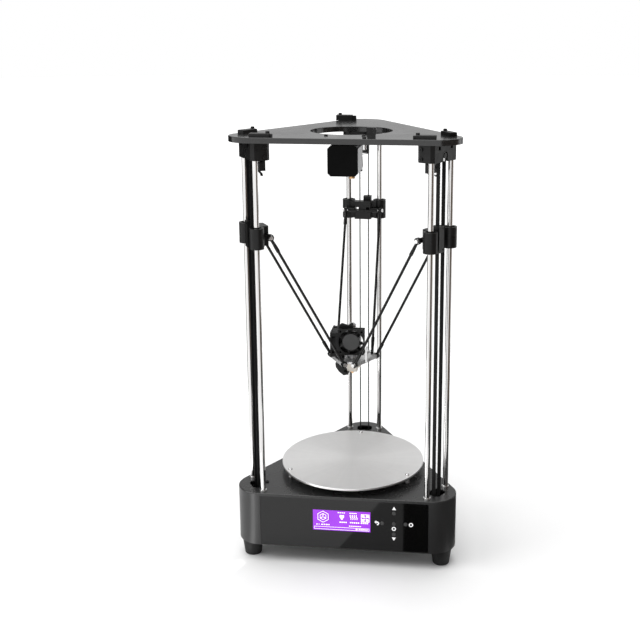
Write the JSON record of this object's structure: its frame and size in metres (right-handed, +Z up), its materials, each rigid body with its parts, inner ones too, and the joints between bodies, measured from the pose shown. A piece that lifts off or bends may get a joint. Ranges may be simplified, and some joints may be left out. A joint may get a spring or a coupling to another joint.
{
  "type": "delta 3d printer",
  "caption": "Delta 3D printer: low housing with display panel, three towers of paired rods, round bed, and a print head hung on jointed arms from belt-driven carriages.",
  "frame": {"origin": "on the vertical machine axis, at the centre of the foot circle, in the plane of the foot undersides", "axes": "+Z up, -Y towards the display panel, +X to the right of someone facing the panel"},
  "size_m": [0.3274, 0.2939, 0.6507],
  "materials": {
    "housing_paint": "satin black paint",
    "rubber": "matte",
    "panel_gloss": "glossy black",
    "lcd": "lit violet",
    "button": "satin",
    "pcb": "solder mask",
    "sheet_metal": "plain",
    "inlet_plastic": "matte",
    "rod_chrome": "polished",
    "plate_gloss": "glossy black",
    "black_plastic": "satin",
    "screw_steel": "plain",
    "motor_black": "satin",
    "belt_rubber": "matte",
    "pulley_alu": "turned",
    "arm_carbon": "satin",
    "plate_alu": "brushed",
    "heater_alu": "milled",
    "brass": "turned",
    "bed_alu": "brushed",
    "spring_steel": "bright",
    "ball_steel": "polished"
  },
  "bodies": {
    "root": {"base_housing": "housing_paint", "base_top_cover": "housing_paint", "rubber_feet": "rubber", "front_panel": "panel_gloss", "lcd_display": "lcd", "control_board": "pcb", "mainboard": "pcb", "power_supply": "sheet_metal", "power_inlet": "inlet_plastic", "tower_rods": "rod_chrome", "top_plate": "plate_gloss", "corner_brackets": "black_plastic", "rod_clamps": "black_plastic", "frame_screws": "screw_steel", "motor_mounts": "black_plastic", "drive_motors": "motor_black", "drive_belts": "belt_rubber", "endstop_switches": "black_plastic", "extruder_motor": "motor_black", "extruder_bracket": "black_plastic", "feeder_body": "black_plastic", "tube_fitting": "brass", "bed_springs": "spring_steel"},
    "button_up": {"button_up": "button"},
    "button_down": {"button_down": "button"},
    "button_left": {"button_left": "button"},
    "button_right": {"button_right": "button"},
    "button_enter": {"button_enter": "button"},
    "power_rocker": {"power_rocker": "inlet_plastic"},
    "drive_pulley_a": {"drive_pulley_a": "pulley_alu"},
    "idler_pulley_a": {"idler_pulley_a": "pulley_alu"},
    "carriage_a": {"carriage_a": "black_plastic", "carriage_hardware_a": "ball_steel"},
    "drive_pulley_b": {"drive_pulley_b": "pulley_alu"},
    "idler_pulley_b": {"idler_pulley_b": "pulley_alu"},
    "carriage_b": {"carriage_b": "black_plastic", "carriage_hardware_b": "ball_steel"},
    "drive_pulley_c": {"drive_pulley_c": "pulley_alu"},
    "idler_pulley_c": {"idler_pulley_c": "pulley_alu"},
    "carriage_c": {"carriage_c": "black_plastic", "carriage_hardware_c": "ball_steel"},
    "arm_a_inner": {"arm_a_inner": "arm_carbon"},
    "arm_a_outer": {"arm_a_outer": "arm_carbon"},
    "arm_b_inner": {"arm_b_inner": "arm_carbon"},
    "arm_b_outer": {"arm_b_outer": "arm_carbon"},
    "arms_c": {"arms_c": "arm_carbon"},
    "effector": {"effector_plate": "plate_alu", "effector_ball_pins": "ball_steel", "hotend_heatsink": "heater_alu", "heater_block": "heater_alu", "nozzle": "brass", "hotend_fan_frame": "black_plastic", "part_fan_frame": "black_plastic", "fan_bracket_duct": "black_plastic"},
    "hotend_fan_rotor": {"hotend_fan_rotor": "black_plastic"},
    "part_fan_rotor": {"part_fan_rotor": "black_plastic"},
    "feeder_gear": {"feeder_gear": "brass"},
    "feeder_lever": {"feeder_lever": "black_plastic"},
    "bed": {"heated_bed": "bed_alu", "bed_screws": "screw_steel"}
  },
  "joints": [
    {"name": "z_travel", "type": "slide", "parent": "root", "child": "carriage_c", "axis": [0, 0, 1], "range_m": [-0.1385, 0.06]},
    {"name": "effector_swing", "type": "hinge", "parent": "carriage_c", "child": "arms_c", "pos_m": [0, 0.136, 0.49275], "axis": [1, 0, 0], "range_deg": [-3.5, 3.5]},
    {"name": "effector_level", "type": "hinge", "parent": "arms_c", "child": "effector", "pos_m": [0, 0.025, 0.2894], "axis": [1, 0, 0], "range_deg": [-3.6, 3.6]},
    {"name": "carriage_a_slide", "type": "slide", "parent": "carriage_c", "child": "carriage_a", "axis": [0, 0, 1], "range_m": [-0.0105, 0.0105]},
    {"name": "carriage_b_slide", "type": "slide", "parent": "carriage_c", "child": "carriage_b", "axis": [0, 0, 1], "range_m": [-0.0105, 0.0105]},
    {"name": "arm_a_inner_tilt", "type": "hinge", "parent": "effector", "child": "arm_a_inner", "pos_m": [-0.0354, 0.01132, 0.2894], "axis": [0.9967, -0.0211, 0.0781], "range_deg": [-3.6, 3.6]},
    {"name": "arm_a_outer_tilt", "type": "hinge", "parent": "effector", "child": "arm_a_outer", "pos_m": [-0.0079, -0.03632, 0.2894], "axis": [0.9967, -0.0211, 0.0781], "range_deg": [-3.6, 3.6]},
    {"name": "arm_b_inner_tilt", "type": "hinge", "parent": "effector", "child": "arm_b_inner", "pos_m": [0.0079, -0.03632, 0.2894], "axis": [0.9967, 0.0211, -0.0781], "range_deg": [-3.6, 3.6]},
    {"name": "arm_b_outer_tilt", "type": "hinge", "parent": "effector", "child": "arm_b_outer", "pos_m": [0.0354, 0.01132, 0.2894], "axis": [0.9967, 0.0211, -0.0781], "range_deg": [-3.6, 3.6]},
    {"name": "drive_pulley_a_spin", "type": "hinge", "parent": "root", "child": "drive_pulley_a", "pos_m": [-0.13423, -0.0775, 0.058], "axis": [-0.866, -0.5, 0], "continuous": true},
    {"name": "idler_pulley_a_spin", "type": "hinge", "parent": "root", "child": "idler_pulley_a", "pos_m": [-0.13423, -0.0775, 0.611], "axis": [-0.866, -0.5, 0], "continuous": true},
    {"name": "drive_pulley_b_spin", "type": "hinge", "parent": "root", "child": "drive_pulley_b", "pos_m": [0.13423, -0.0775, 0.058], "axis": [0.866, -0.5, 0], "continuous": true},
    {"name": "idler_pulley_b_spin", "type": "hinge", "parent": "root", "child": "idler_pulley_b", "pos_m": [0.13423, -0.0775, 0.611], "axis": [0.866, -0.5, 0], "continuous": true},
    {"name": "drive_pulley_c_spin", "type": "hinge", "parent": "root", "child": "drive_pulley_c", "pos_m": [0, 0.155, 0.058], "axis": [0, 1, 0], "continuous": true},
    {"name": "idler_pulley_c_spin", "type": "hinge", "parent": "root", "child": "idler_pulley_c", "pos_m": [0, 0.155, 0.611], "axis": [0, 1, 0], "continuous": true},
    {"name": "press_up", "type": "slide", "parent": "root", "child": "button_up", "axis": [0, 1, 0], "range_m": [0, 0.0005], "stiffness_N_per_m": 1200, "springref_m": -0.0006},
    {"name": "press_enter", "type": "slide", "parent": "root", "child": "button_enter", "axis": [0, 1, 0], "range_m": [0, 0.0005], "stiffness_N_per_m": 1200, "springref_m": -0.0006},
    {"name": "press_down", "type": "slide", "parent": "root", "child": "button_down", "axis": [0, 1, 0], "range_m": [0, 0.0005], "stiffness_N_per_m": 1200, "springref_m": -0.0006},
    {"name": "press_left", "type": "slide", "parent": "root", "child": "button_left", "axis": [0, 1, 0], "range_m": [0, 0.0005], "stiffness_N_per_m": 1200, "springref_m": -0.0006},
    {"name": "press_right", "type": "slide", "parent": "root", "child": "button_right", "axis": [0, 1, 0], "range_m": [0, 0.0005], "stiffness_N_per_m": 1200, "springref_m": -0.0006},
    {"name": "power_rocker_tilt", "type": "hinge", "parent": "root", "child": "power_rocker", "pos_m": [0.09137, 0.05275, 0.0802], "axis": [-0.5, 0.866, 0], "range_deg": [-11, 0]},
    {"name": "hotend_fan_spin", "type": "hinge", "parent": "effector", "child": "hotend_fan_rotor", "pos_m": [0.0005, -0.0176, 0.3202], "axis": [0, 1, 0], "continuous": true},
    {"name": "part_fan_spin", "type": "hinge", "parent": "effector", "child": "part_fan_rotor", "pos_m": [-0.0262, -0.002, 0.3144], "axis": [1, 0, 0], "continuous": true},
    {"name": "feeder_gear_spin", "type": "hinge", "parent": "root", "child": "feeder_gear", "pos_m": [0.0005, -0.045, 0.60345], "axis": [0, 1, 0], "continuous": true},
    {"name": "feeder_lever_open", "type": "hinge", "parent": "root", "child": "feeder_lever", "pos_m": [0.017, -0.0406, 0.5886], "axis": [0, 1, 0], "range_deg": [0, 5.5], "stiffness_Nm_per_rad": 2, "springref_deg": -11.46},
    {"name": "bed_level", "type": "slide", "parent": "root", "child": "bed", "axis": [0, 0, 1], "range_m": [-0.001, 0.001], "deforming": ["bed_springs"]}
  ],
  "couplings": [
    {"joint": "effector_level", "follows": "effector_swing", "ratio": -1},
    {"joint": "carriage_a_slide", "follows": "effector_swing", "m_per_rad": -0.1664},
    {"joint": "carriage_b_slide", "follows": "effector_swing", "m_per_rad": -0.1664},
    {"joint": "arm_a_inner_tilt", "follows": "effector_swing", "ratio": 0.96721},
    {"joint": "arm_a_outer_tilt", "follows": "effector_swing", "ratio": 0.96721},
    {"joint": "arm_b_inner_tilt", "follows": "effector_swing", "ratio": 0.96721},
    {"joint": "arm_b_outer_tilt", "follows": "effector_swing", "ratio": 0.96721},
    {"joint": "drive_pulley_a_spin", "follows": "z_travel", "rad_per_m": -157.08},
    {"joint": "idler_pulley_a_spin", "follows": "z_travel", "rad_per_m": -157.08},
    {"joint": "drive_pulley_b_spin", "follows": "z_travel", "rad_per_m": -157.08},
    {"joint": "idler_pulley_b_spin", "follows": "z_travel", "rad_per_m": -157.08},
    {"joint": "drive_pulley_c_spin", "follows": "z_travel", "rad_per_m": -157.08},
    {"joint": "idler_pulley_c_spin", "follows": "z_travel", "rad_per_m": -157.08}
  ]
}
